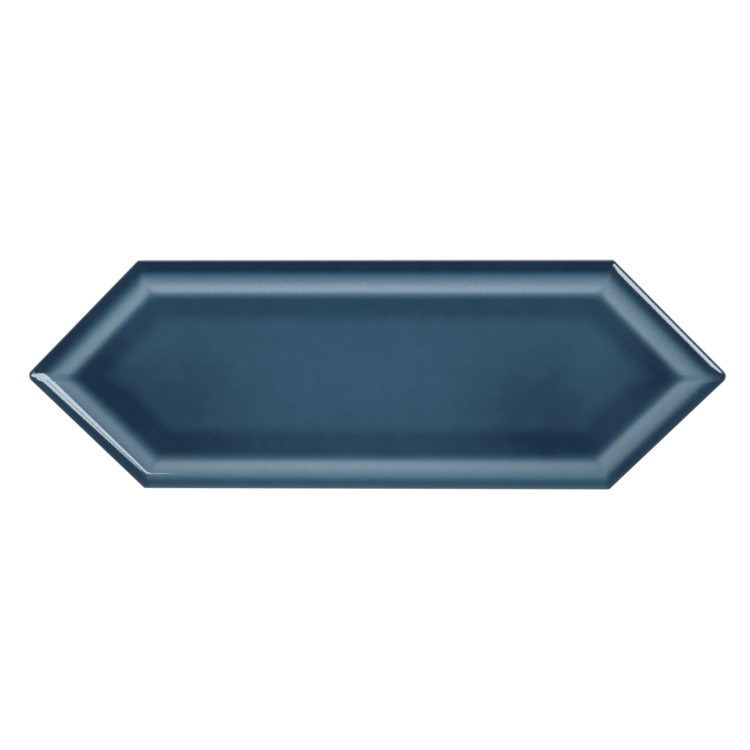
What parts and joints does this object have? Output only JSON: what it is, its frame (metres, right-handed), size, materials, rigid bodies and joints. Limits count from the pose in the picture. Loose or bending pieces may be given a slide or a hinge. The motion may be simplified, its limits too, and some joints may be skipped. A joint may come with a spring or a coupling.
{
  "type": "ceramic wall tile",
  "caption": "Long hexagonal glazed wall tile with pointed ends, a flat raised panel, a bowed bevel all round and a grooved back for adhesive.",
  "frame": {"origin": "middle of the back, on the plane that the adhesive meets", "axes": "+X runs from point to point, +Y across the two long sides, +Z out of the glazed face"},
  "size_m": [0.3, 0.1, 0.01],
  "materials": {
    "glazed_body": "transparent petrol-blue gloss glaze, pooled darker in the crease and along the lip, over a pressed pale body that is bare on the back"
  },
  "bodies": {
    "root": {"tile": "glazed_body"}
  },
  "joints": []
}
